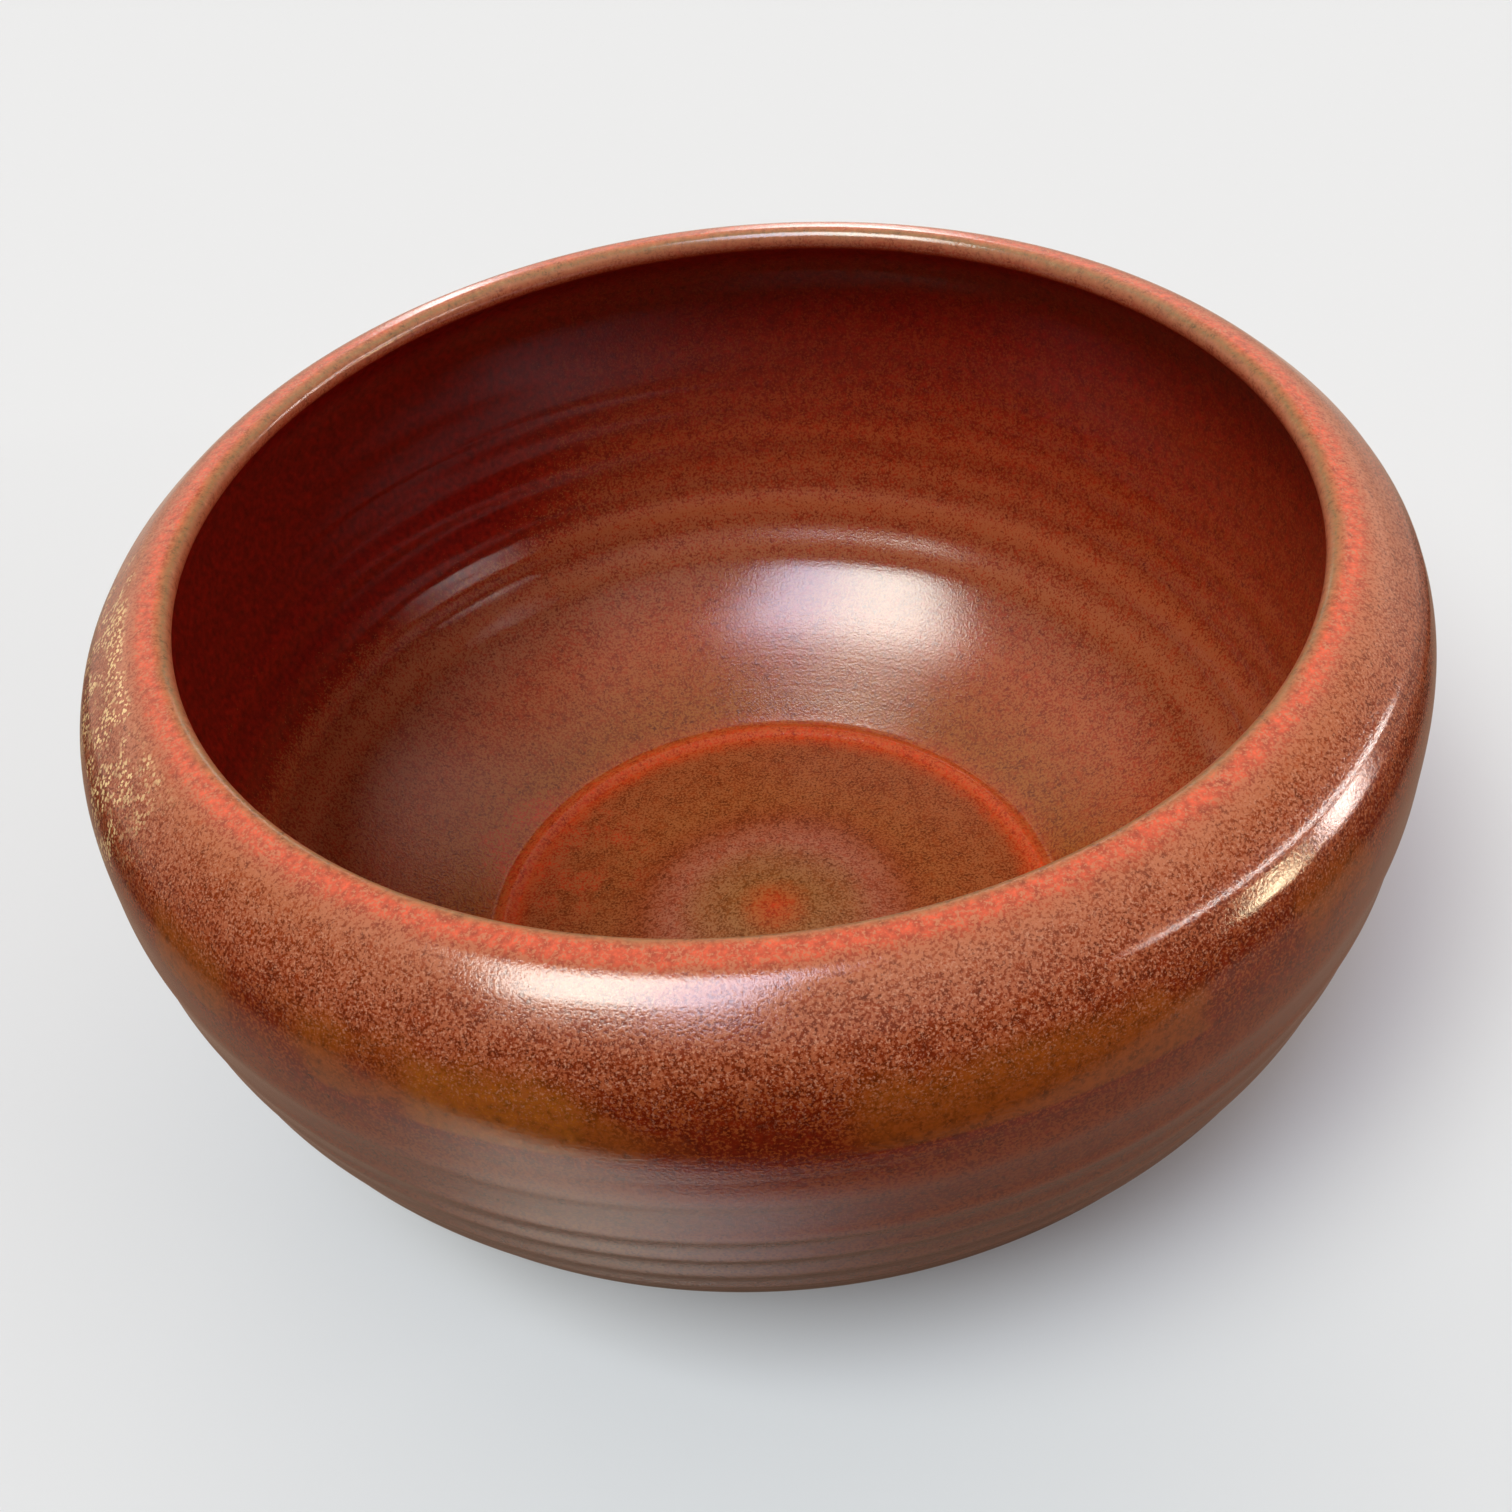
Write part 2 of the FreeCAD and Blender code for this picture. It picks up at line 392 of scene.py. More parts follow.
OUTSIDE_RELIEF = relief_of(OUTSIDE, OUTSIDE_RUN, OUTSIDE_RIDGES, OUTSIDE_SEED)
INSIDE_RELIEF = relief_of(INSIDE, INSIDE_RUN, INSIDE_RIDGES, INSIDE_SEED)


def spread(run, shape):
    """One mark per ring, spread round it."""
    return np.broadcast_to(np.asarray(run, float)[:, None], shape[:2])


def thinned(count):
    """Which points of a line the hidden faces use: both ends and one in a few."""
    step = round(HIDDEN_STEP / FACE_STEP)
    return np.unique(np.append(np.arange(0, count, step), count - 1))


def coat(name, line, normals, run, relief, inside):
    """A coat of glaze: its glazed face, and its hidden face on the clay. The inside one has a middle."""
    shown, hidden = np.arange(len(line)), thinned(len(line))
    if inside:
        shown = shown[::-1]
    else:
        hidden = hidden[::-1]
    glazed_face = revolve(line, normals, relief, 0)[shown]
    clay_face = revolve(line, normals, relief, GLAZE_THICKNESS)[hidden]
    rings = np.concatenate([glazed_face, clay_face])
    order = np.concatenate([shown, hidden])
    marks = {"from_lip": spread(run[order], rings.shape), "crest": relief[order]}
    return skin(name, rings, not inside, marks)


def make_outside_glaze():
    """The dipped coat."""
    return coat("outside_glaze", OUTSIDE, OUTSIDE_NORMALS, OUTSIDE_RUN, OUTSIDE_RELIEF, inside=False)


def make_inside_glaze():
    """The poured coat."""
    return coat("inside_glaze", INSIDE, INSIDE_NORMALS, INSIDE_RUN, INSIDE_RELIEF, inside=True)


def foot_line():
    """The bare clay from the end of the glaze under the foot ring to the middle of the recess."""
    toe_out = FOOT_RADIUS - FOOT_TAPER
    toe_in = FOOT_RADIUS - FOOT_WIDTH + FOOT_TAPER
    edge = FOOT_EDGE_RADIUS
    shelf = straight_line(OUTSIDE[-1] - OUTSIDE_NORMALS[-1] * GLAZE_THICKNESS, (FOOT_RADIUS, FOOT_HEIGHT))
    outer = straight_line((FOOT_RADIUS, FOOT_HEIGHT), (toe_out, edge))
    outer_round = arc_line(np.array((toe_out - edge, edge)), edge, 0, -math.pi / 2, FOOT_EDGE_STEP)
    flat = straight_line((toe_out - edge, 0), (toe_in + edge, 0))
    inner_round = arc_line(np.array((toe_in + edge, edge)), edge, -math.pi / 2, -math.pi, FOOT_EDGE_STEP)
    inner = straight_line((toe_in, edge), (FOOT_RADIUS - FOOT_WIDTH, FOOT_RECESS_DEPTH))
    recess = straight_line((FOOT_RADIUS - FOOT_WIDTH, FOOT_RECESS_DEPTH), (FACE_STEP, FOOT_RECESS_DEPTH))
    return joined(shelf, outer, outer_round, flat, inner_round, inner, recess)


def make_clay():
    """The clay under both coats, and the bare turned foot."""
    inner_kept = thinned(len(INSIDE))
    outer_kept = thinned(len(OUTSIDE))
    inner = revolve(INSIDE, INSIDE_NORMALS, INSIDE_RELIEF, GLAZE_THICKNESS)[inner_kept][::-1]
    outer = revolve(OUTSIDE, OUTSIDE_NORMALS, OUTSIDE_RELIEF, GLAZE_THICKNESS)[outer_kept][1:]
    line = foot_line()[1:]
    foot = revolve(line, normals_of(line, 1), np.zeros((len(line), SEGMENTS)), 0)
    rings = np.concatenate([inner, outer, foot])
    return skin("turned_clay", rings, False, {})


# A pool is full within this share of its reach. Crystals are warped cells that fade at their edge
FULL_REACH = 0.6
CELL_WARP_PITCH = 1.4
CELL_WARP = 0.9
CELL_EDGE = (0.75, 0.25)
BUMP_STRENGTH = 0.5


class Paint:
    """The node tree of one material or of the world, built by short calls."""

    def __init__(self, owner):
        owner.use_nodes = True
        self.tree = owner.node_tree
        self.tree.nodes.clear()

    def node(self, kind, sockets=(), **settings):
        """A node with its settings, and its sockets set or linked by name or number."""
        made = self.tree.nodes.new(kind)
        for setting, value in settings.items():
            setattr(made, setting, value)
        for socket, value in dict(sockets).items():
            self.feed(made.inputs[socket], value)
        return made

    def feed(self, socket, value):
        """Links an output to a socket, or sets the socket's own value."""
        if isinstance(value, bpy.types.NodeSocket):
            self.tree.links.new(value, socket)
        elif socket.type == "RGBA":
            socket.default_value = (*value, 1)
        else:
            socket.default_value = value

    def reckon(self, operation, *values):
        """One step of arithmetic."""
        return self.node("ShaderNodeMath", dict(enumerate(values)), operation=operation).outputs[0]

    def product(self, first, *others):
        """All of the values multiplied."""
        for other in others:
            first = self.reckon("MULTIPLY", first, other)
        return first

    def largest(self, first, *others):
        """The largest of the values."""
        for other in others:
            first = self.reckon("MAXIMUM", first, other)
        return first

    def scaled(self, value, factor, base):
        """A value times a factor, added to a base."""
        return self.reckon("MULTIPLY_ADD", value, factor, base)

    def dot(self, first, second):
        """The dot product of two vectors."""
        sockets = {0: first, 1: second}
        return self.node("ShaderNodeVectorMath", sockets, operation="DOT_PRODUCT").outputs["Value"]

    def blend(self, share, first, second, mode="MIX"):
        """A mix of two colours."""
        made = self.node("ShaderNodeMix", data_type="RGBA", blend_type=mode)
        self.feed(made.inputs[0], share)
        self.feed(made.inputs[6], first)
        self.feed(made.inputs[7], second)
        return made.outputs[2]

    def step(self, value, low, high):
        """0 below low, 1 above high, and smooth between."""
        sockets = {"Value": value, "From Min": low, "From Max": high}
        return self.node("ShaderNodeMapRange", sockets, interpolation_type="SMOOTHSTEP").outputs[0]

    def ramp(self, value, stops):
        """Colours along a value, from stops of (value, colour)."""
        stops = sorted(stops)
        low, high = stops[0][0], stops[-1][0]
        sockets = {"Value": value, "From Min": low, "From Max": high}
        share = self.node("ShaderNodeMapRange", sockets).outputs[0]
        made = self.node("ShaderNodeValToRGB", {"Fac": share})
        elements = made.color_ramp.elements
        while len(elements) < len(stops):
            elements.new(0.5)
        for element, (place, colour) in zip(elements, stops):
            element.position = (place - low) / (high - low)
            element.color = (*colour, 1)
        return made.outputs[0]

    def mark(self, name):
        """A mark that the mesh carries."""
        return self.node("ShaderNodeAttribute", attribute_name=name).outputs["Fac"]

    def place(self):
        """The place on the piece, in millimetres."""
        place = self.node("ShaderNodeTexCoord").outputs["Object"]
        sockets = {0: place, "Scale": 1 / MM}
        return self.node("ShaderNodeVectorMath", sockets, operation="SCALE").outputs[0]

    def noise(self, place, size, detail, roughness):
        """Noise between about 0 and 1 whose lumps have a size in millimetres."""
        sockets = {"Vector": place, "Scale": 1 / size, "Detail": detail, "Roughness": roughness}
        return self.node("ShaderNodeTexNoise", sockets).outputs["Fac"]

    def near(self, place, middle, reach):
        """1 about a place, and 0 beyond reach."""
        sockets = {0: place, 1: Vector(middle)}
        away = self.node("ShaderNodeVectorMath", sockets, operation="DISTANCE").outputs["Value"]
        return self.step(away, reach, reach * FULL_REACH)

    def crystals(self, place, size):
        """Random levels, one to each small ragged cell, fading at the cell's edge."""
        sockets = {"Vector": place, "Scale": CELL_WARP_PITCH / size, "Detail": 2.0}
        warp = self.node("ShaderNodeTexNoise", sockets).outputs["Color"]
        sockets = {0: warp, "Scale": CELL_WARP * size}
        shift = self.node("ShaderNodeVectorMath", sockets, operation="SCALE").outputs[0]
        moved = self.node("ShaderNodeVectorMath", {0: place, 1: shift}, operation="ADD").outputs[0]
        cells = self.node("ShaderNodeTexVoronoi", {"Vector": moved, "Scale": 1 / size})
        level = self.node("ShaderNodeSeparateColor", {0: cells.outputs["Color"]}).outputs[0]
        return self.product(level, self.step(cells.outputs["Distance"], *CELL_EDGE))

    def bump(self, height, distance):
        """Normals of a fine relief that stands out by a distance in millimetres."""
        sockets = {"Strength": BUMP_STRENGTH, "Distance": distance * MM, "Height": height}
        return self.node("ShaderNodeBump", sockets).outputs[0]


# Colours of the glaze where it breaks thin at the lip, and of its pools and crystals, and of painted shade,
# painted warm reflections and the painted glint of gold crystals
SALMON = (0.46, 0.15, 0.085)
KHAKI = (0.30, 0.17, 0.075)
LIP_ORANGE = (0.66, 0.095, 0.038)
SPARK = (0.68, 0.29, 0.17)
# Painted shade: the deep red that darkens the left inside wall
PAINTED_SHADE_RED = (0.20, 0.003, 0.001)
# Painted glint: the bright gold of the crystals on the left flank
GOLD_GLINT = (1.0, 0.70, 0.33)
# Amber of the glaze, also the colour of the painted warm reflections low at the front
AMBER_AND_WARM_REFLECTION = (0.38, 0.100, 0.008)
RING_RED = (0.46, 0.035, 0.008)

# Where crystals and pools gathered in the firing, where the gold crystals' glint is painted, where shade is
# painted on the left inside wall, where the glaze lies dry, and where warm reflections are painted low at
# the front: middle and reach, in millimetres, and for these reflections how strong each is
# Where the gold crystals' glint is painted
GOLD_GLINT_PLACE = ((-112, -26, 112), 44)
RED_POOL = ((-48, 24, 10), 24)
# Painted shade: where the left inside wall is darkened
PAINTED_SHADE_PLACE = ((-105, 45, 85), 108)
DRY_WALL = ((-66, 74, 52), 46)
# Painted warm reflections low on the front of the shoulder
WARM_REFLECTION_PATCHES = (
    ((-43, -116, 101), 19, 0.80),
    ((24, -122, 101), 20, 0.45),
)

# Noise in the glaze: size of its lumps in millimetres, detail, roughness
DRIFT_NOISE = (11.0, 3.0, 0.6)
AMBER_NOISE = (26.0, 2.0, 0.5)
RED_NOISE = (9.0, 3.0, 0.6)
CLOUD_NOISE = (1.6, 3.0, 0.6)
SPECKLE_NOISE = (0.55, 3.0, 0.65)
PATCH_NOISE = (4.5, 4.0, 0.65)
SPARK_NOISE = (0.42, 2.0, 0.6)
GOLD_NOISE = (7.0, 3.0, 0.6)
LINE_NOISE = (1.6, 2.0, 0.6)
GOLD_CELL = 0.8
LINE_STRETCH = 0.02

# Levels of noise from which each starts to show, and at which it is full
AMBER_LEVELS = (0.50, 0.60)
RED_LEVELS = (0.42, 0.58)
SPARK_LEVELS = (0.52, 0.70)
GOLD_LEVELS = (0.40, 0.60)
GOLD_CELL_LEVELS = (0.25, 0.36)
GRAIN_LEVELS = (-0.07, 0.07)

# Zones, from where each starts to where it is full, in millimetres: by distance from the lip's top,
OUTER_FACE = (5.0, 7.0)
INNER_FACE = (-5.0, -9.0)
SPARKLING_FACE = (4.0, 9.0)
UNDER_LIP = (-4.0, -8.0)
LIP_FROM_INSIDE = (-7.0, -4.5)
LIP_FROM_OUTSIDE = (1.0, -0.8)
# by height,
ABOVE_BELLY = (94.5, 95.5)
LOW_SHOULDER = (111, 105)
HIGH_SHOULDER = (98, 112)
# Painted shade on the left inside wall fades in over these heights
PAINTED_SHADE_HEIGHTS = (38, 58)
HIGH_WALL = (78, 94)
# and by place to the back
NEAR_SIDE = (60, 20)

# How far the bands and zones waver, in millimetres
BAND_DRIFT = 1.25
ZONE_DRIFT = 5.0

# How much each layer shows, and how much each cause adds to the share of flecks
AMBER_SHARE = 0.5
AMBER_FLECKS = 0.6
# Painted shade: how far the left inside wall turns deep red
PAINTED_SHADE_SHARE = 0.85
RED_SHARE = 0.8
SPARK_SHARE = 0.8
PATCH_FLECKS = 0.9
CREST_FLECKS = 0.45
# Painted shade: how many flecks the left inside wall loses
PAINTED_SHADE_FLECKS = -0.7
CLOUD_CONTRAST, CLOUD_BASE = 2.0, 0.02
EDGE_SLOPE, EDGE_BASE = -0.30, 0.65
# Crests lighter and grooves darker: partly the glaze breaking thin and pooling, partly painted light and
# shade of the rings
CREST_BREAK_AND_SHADE = {"From Min": -0.1, "From Max": 0.5, "To Min": 0.90, "To Max": 1.18}

# Surface: fine relief in millimetres, gloss, and how dry the glaze lies in some places
GLAZE_RELIEF = 0.09
LINE_RELIEF = 0.45
OUTER_SMOOTHNESS = -0.25
ROUGHNESS_RANGE, ROUGHNESS_BASE = 0.20, 0.35
GROUND_GLOSS = 0.06
COAT_ROUGHNESS = 0.05
COAT_IOR = 1.72
DRY_LOSS = 0.85
# The left inside wall, where shade is painted, also lies drier
DRY_PAINTED_SHADE_WALL = 0.85
DRY_UNDER_LIP = 0.65
DRY_WALL_SHARE = 0.7
DRY_FLOOR_RADII = (64, 58)


def glaze_bands():
    """Rows of place, ground, flecks and share of flecks, from the floor's middle over the lip and down."""
    return [
        (inside_at_radius(0), (0.46, 0.040, 0.008), (0.52, 0.09, 0.02), 0.5),
        (inside_at_radius(4), (0.34, 0.045, 0.008), (0.46, 0.12, 0.03), 0.5),
        (inside_at_radius(9), (0.22, 0.060, 0.012), (0.38, 0.15, 0.05), 0.5),
        # The pinker ring at 17 to 23 mm is painted sheen, and the darker ring at 31 mm painted shade, on
        # the slope of the middle rise
        (inside_at_radius(17), (0.25, 0.062, 0.016), (0.40, 0.15, 0.06), 0.5),
        (inside_at_radius(23), (0.31, 0.060, 0.024), (0.45, 0.15, 0.08), 0.5),
        (inside_at_radius(31), (0.20, 0.032, 0.006), (0.36, 0.085, 0.025), 0.5),
        (inside_at_radius(37), (0.22, 0.040, 0.007), (0.38, 0.11, 0.030), 0.5),
        (inside_at_radius(55), (0.23, 0.036, 0.007), (0.38, 0.10, 0.030), 0.5),
        (inside_at_radius(59), (0.50, 0.040, 0.006), (0.56, 0.09, 0.02), 0.5),
        (inside_at_radius(61.5), (0.54, 0.055, 0.010), (0.60, 0.11, 0.025), 0.5),
        (inside_at_radius(64), (0.30, 0.040, 0.005), (0.42, 0.10, 0.018), 0.5),
        (inside_at_radius(68), (0.25, 0.042, 0.004), (0.37, 0.105, 0.016), 0.5),
        (inside_at_radius(86), (0.32, 0.036, 0.007), (0.44, 0.105, 0.030), 0.5),
        (inside_at_height(34), (0.25, 0.028, 0.007), (0.34, 0.095, 0.034), 0.5),
        (inside_at_height(60), (0.22, 0.016, 0.003), (0.29, 0.052, 0.012), 0.4),
        (inside_at_height(98), (0.20, 0.004, 0.001), (0.26, 0.020, 0.004), 0.3),
        (-7, (0.25, 0.005, 0.002), (0.34, 0.03, 0.010), 0.3),
        (-4.4, (0.34, 0.050, 0.020), (0.46, 0.13, 0.06), 0.5),
        (-2.8, SALMON, (0.52, 0.18, 0.09), 0.5),
        (-1.7, KHAKI, (0.38, 0.17, 0.07), 0.5),
        (-0.9, KHAKI, (0.44, 0.16, 0.06), 0.5),
        (0.1, LIP_ORANGE, (0.64, 0.22, 0.11), 0.25),
        (2.6, LIP_ORANGE, (0.64, 0.20, 0.09), 0.30),
        (3.9, (0.46, 0.070, 0.025), (0.56, 0.16, 0.070), 0.50),
        (5.6, (0.34, 0.065, 0.018), (0.56, 0.17, 0.075), 0.6),
        (12, (0.24, 0.032, 0.004), (0.50, 0.145, 0.066), 0.50),
        (18, (0.18, 0.019, 0.002), (0.43, 0.105, 0.040), 0.42),
        (24, (0.17, 0.013, 0.001), (0.37, 0.075, 0.018), 0.37),
        (outside_at_height(97), (0.18, 0.010, 0.001), (0.34, 0.052, 0.006), 0.33),
        (outside_at_height(92), (0.17, 0.014, 0.002), (0.28, 0.048, 0.009), 0.45),
        (outside_at_height(80), (0.18, 0.016, 0.002), (0.27, 0.045, 0.008), 0.45),
        (outside_at_height(60), (0.13, 0.016, 0.003), (0.21, 0.045, 0.010), 0.4),
    ]


class GlazePaint(Paint):
    """The mottled iron-red glaze: fine crystals over a deep ground, orange and khaki where it is thin."""

    def __init__(self, material):
        super().__init__(material)
        self.spot = self.place()
        self.run = self.mark("from_lip")
        self.crest = self.mark("crest")
        _, self.depth, self.height = self.node("ShaderNodeSeparateXYZ", {0: self.spot}).outputs
        drift = self.scaled(self.noise(self.spot, *DRIFT_NOISE), 2.0, -1.0)
        self.wavering_run = self.scaled(drift, BAND_DRIFT, self.run)
        self.wavering_height = self.scaled(drift, ZONE_DRIFT, self.height)
        self.outer = self.step(self.run, *OUTER_FACE)
        self.inner = self.step(self.run, *INNER_FACE)
        # The left inside wall, where shade is painted deep red with few flecks
        painted_shade_rise = self.step(self.height, *PAINTED_SHADE_HEIGHTS)
        self.painted_shade_wall = self.product(self.near(self.spot, *PAINTED_SHADE_PLACE), painted_shade_rise, self.inner)
        self.speckle = self.noise(self.spot, *SPECKLE_NOISE)

    def bands(self):
        """Ground, flecks and the share of flecks along the glaze."""
        rows = glaze_bands()
        ground = self.ramp(self.wavering_run, [(spot, ground) for spot, ground, _, _ in rows])
        flecks = self.ramp(self.wavering_run, [(spot, flecks) for spot, _, flecks, _ in rows])
        cover = self.ramp(self.wavering_run, [(spot, (share,) * 3) for spot, _, _, share in rows])
        return ground, flecks, cover

    def amber(self):
        """Amber low on the shoulder: random pools in the glaze, and painted warm reflections at the front.
        """
        amber = self.product(self.step(self.noise(self.spot, *AMBER_NOISE), *AMBER_LEVELS), AMBER_SHARE)
        # The painted warm reflections at the front
        for middle, reach, strength in WARM_REFLECTION_PATCHES:
            amber = self.largest(amber, self.product(self.near(self.spot, middle, reach), strength))
        above = self.step(self.height, *ABOVE_BELLY)
        return self.product(amber, self.outer, above, self.step(self.wavering_height, *LOW_SHOULDER))

    def red(self):
        """Where red gathered beside the ring on the floor."""
        red = self.step(self.noise(self.spot, *RED_NOISE), *RED_LEVELS)
        return self.product(self.near(self.spot, *RED_POOL), red, RED_SHARE)

    def grains(self, cover):
        """Where flecks cover the ground: in patches, more on crests and fewer on the left inside wall,
        where shade is painted.
        """
        share = self.scaled(self.noise(self.spot, *PATCH_NOISE), PATCH_FLECKS, cover)
        share = self.reckon("SUBTRACT", share, PATCH_FLECKS / 2)
        share = self.scaled(self.crest, CREST_FLECKS, share)
        share = self.scaled(self.painted_shade_wall, PAINTED_SHADE_FLECKS, share)
        edge = self.scaled(share, EDGE_SLOPE, EDGE_BASE)
        return self.step(self.reckon("SUBTRACT", self.speckle, edge), *GRAIN_LEVELS)

    def sparks(self):
        """Bright crystals on the upper shoulder."""
        bright = self.step(self.noise(self.spot, *SPARK_NOISE), *SPARK_LEVELS)
        high = self.step(self.wavering_height, *HIGH_SHOULDER)
        return self.product(bright, self.step(self.run, *SPARKLING_FACE), high, SPARK_SHARE)

    def gold(self):
        """Gold crystals gathered on the left flank, with their glint painted in as bright colour."""
        gathered = self.step(self.noise(self.spot, *GOLD_NOISE), *GOLD_LEVELS)
        cells = self.step(self.crystals(self.spot, GOLD_CELL), *GOLD_CELL_LEVELS)
        return self.product(self.near(self.spot, *GOLD_GLINT_PLACE), gathered, self.outer, cells)

    def colour(self):
        """All layers of colour."""
        ground, flecks, cover = self.bands()
        # Amber pools in the glaze, with painted warm reflections at the front
        amber = self.amber()
        ground = self.blend(amber, ground, AMBER_AND_WARM_REFLECTION)
        flecks = self.blend(self.product(amber, AMBER_FLECKS), flecks, AMBER_AND_WARM_REFLECTION)
        # Painted shade: the left inside wall turns deep red
        ground = self.blend(self.product(self.painted_shade_wall, PAINTED_SHADE_SHARE), ground, PAINTED_SHADE_RED)
        ground = self.blend(self.red(), ground, RING_RED)
        clouds = self.scaled(self.noise(self.spot, *CLOUD_NOISE), CLOUD_CONTRAST, CLOUD_BASE)
        ground = self.blend(1.0, ground, clouds, "MULTIPLY")
        colour = self.blend(self.grains(cover), ground, flecks)
        colour = self.blend(self.sparks(), colour, SPARK)
        # Crests lighter and grooves darker: partly the glaze breaking thin and pooling, partly painted
        # light and shade of the rings
        tint = self.node("ShaderNodeMapRange", {"Value": self.crest, **CREST_BREAK_AND_SHADE}).outputs[0]
        colour = self.blend(1.0, colour, tint, "MULTIPLY")
        # Painted glint: bright gold on the crystals of the left flank
        return self.blend(self.gold(), colour, GOLD_GLINT)

    def relief(self):
        """Normals of the throwing lines and of the crystals' grain."""
        run = self.node("ShaderNodeCombineXYZ", {0: self.run}).outputs[0]
        sockets = {0: self.spot, "Scale": LINE_STRETCH}
        stretched = self.node("ShaderNodeVectorMath", sockets, operation="SCALE").outputs[0]
        lines = self.node("ShaderNodeVectorMath", {0: run, 1: stretched}, operation="ADD").outputs[0]
        grain = self.product(self.speckle, self.scaled(self.outer, OUTER_SMOOTHNESS, 1.0))
        return self.bump(self.scaled(self.noise(lines, *LINE_NOISE), LINE_RELIEF, grain), GLAZE_RELIEF)

    def dry(self):
        """Where the glaze lies dry: the near lip, and inside the floor, the left wall and under the lip."""
        lip = self.product(self.step(self.run, *LIP_FROM_INSIDE), self.step(self.run, *LIP_FROM_OUTSIDE))
        lip = self.product(lip, self.step(self.depth, *NEAR_SIDE))
        floor = self.step(self.run, *[inside_at_radius(radius) for radius in DRY_FLOOR_RADII])
        # Drier on the left inside wall, where shade is painted
        painted_shade_wall = self.product(self.painted_shade_wall, DRY_PAINTED_SHADE_WALL)
        high = self.product(self.step(self.run, *UNDER_LIP), self.step(self.height, *HIGH_WALL))
        high = self.product(high, DRY_UNDER_LIP)
        wall = self.product(self.near(self.spot, *DRY_WALL), self.inner, DRY_WALL_SHARE)
        return self.largest(lip, floor, painted_shade_wall, high, wall)


def make_glaze(name):
    """A glaze with a clear glossy coat, duller where it lies dry."""
    material = bpy.data.materials.new(name)
    paint = GlazePaint(material)
    relief = paint.relief()
    shader = paint.node("ShaderNodeBsdfPrincipled", {
        "Base Color": paint.colour(),
        "Roughness": paint.scaled(paint.speckle, ROUGHNESS_RANGE, ROUGHNESS_BASE),
        "Specular IOR Level": GROUND_GLOSS,
        "Normal": relief,
        "Coat Weight": paint.scaled(paint.dry(), -DRY_LOSS, 1.0),
        "Coat Roughness": COAT_ROUGHNESS,
        "Coat IOR": COAT_IOR,
        "Coat Normal": relief,
    })
    paint.node("ShaderNodeOutputMaterial", {"Surface": shader.outputs[0]})
    return material


# Bare clay: body colours, grog, and turning lines in radians to a millimetre
CLAY_RED = (0.36, 0.19, 0.11)
CLAY_BUFF = (0.46, 0.27, 0.17)
GROG_PALE = (0.60, 0.42, 0.30)
GROG_DARK = (0.17, 0.09, 0.06)
GROG_NOISE = (0.5, 3.0, 0.7)
CLAY_NOISE = (14.0, 3.0, 0.6)
CLAY_LEVELS = (0.3, 0.7)
PALE_LEVELS = (0.62, 0.75)
DARK_LEVELS = (0.36, 0.28)
TURNING_ACROSS = 5.2
TURNING_UP = 4.1
TURNING_SHARE = 0.35
CLAY_RELIEF = 0.10
CLAY_ROUGHNESS = 0.82


def make_bare_clay():
    """Unglazed stoneware with fine turning lines and grog."""
    material = bpy.data.materials.new("bare_clay")
    paint = Paint(material)
    place = paint.place()
    x, y, z = paint.node("ShaderNodeSeparateXYZ", {0: place}).outputs
    flat = paint.node("ShaderNodeCombineXYZ", {0: x, 1: y}).outputs[0]
    radius = paint.node("ShaderNodeVectorMath", {0: flat}, operation="LENGTH").outputs["Value"]
    turning = paint.reckon("SINE", paint.scaled(radius, TURNING_ACROSS, paint.product(z, TURNING_UP)))
    grog = paint.noise(place, *GROG_NOISE)
    patches = paint.noise(place, *CLAY_NOISE)
    colour = paint.blend(paint.step(patches, *CLAY_LEVELS), CLAY_RED, CLAY_BUFF)
    colour = paint.blend(paint.step(grog, *PALE_LEVELS), colour, GROG_PALE)
    colour = paint.blend(paint.step(grog, *DARK_LEVELS), colour, GROG_DARK)
    relief = paint.bump(paint.scaled(turning, TURNING_SHARE, grog), CLAY_RELIEF)
    sockets = {"Base Color": colour, "Roughness": CLAY_ROUGHNESS, "Normal": relief}
    shader = paint.node("ShaderNodeBsdfPrincipled", sockets)
    paint.node("ShaderNodeOutputMaterial", {"Surface": shader.outputs[0]})
    return material


def bearing(azimuth, elevation):
    """The direction of a light, by degrees round from +X and degrees above level."""
    azimuth, elevation = math.radians(azimuth), math.radians(elevation)
    return Vector((
        math.cos(azimuth) * math.cos(elevation),
        math.sin(azimuth) * math.cos(elevation),
        math.sin(elevation),
    ))


# Background as the photograph has it, the table as the glaze reflects it, and the room's light levels
PALE = (0.807, 0.807, 0.807)
FLOOR_COLOUR = (0.746, 0.770, 0.790)
TABLE_COLOUR = (0.24, 0.155, 0.105)
TABLE_SHEEN = (0.50, 0.46, 0.42)
BEYOND_TABLE = (0.02, 0.013, 0.009)
BACK_OF_ROOM = (0.62, 0.48, 0.40)
LOW_ROOM = (0.02, 0.013, 0.009)
WALL_LIGHT = (0.045, 0.035, 0.027)
CEILING_LIGHT = (0.40, 0.37, 0.34)
BACK_LIGHT = (0.82, 0.63, 0.52)

# The room's levels by how far up a direction points, and where its bright back starts and is full
ROOM_LEVELS = (
    (-0.1, LOW_ROOM),
    (0.1, WALL_LIGHT),
    (0.5, WALL_LIGHT),
    (0.78, CEILING_LIGHT),
    (1.0, CEILING_LIGHT),
)
BACK_FROM = (0.05, 0.65)
BACK_ABOVE = (-0.1, 0.08)

# The table that the glaze reflects, and the floor's size, in millimetres
TABLE_FRONT = -190.0
TABLE_HALF_WIDTH = 258.0
TABLE_EDGE = 6.0
TABLE_BACK = (140, 260)
TABLE_GLOSS = 0.3
TABLE_ROUGHNESS = 0.3
FLOOR_REACH = 6000.0

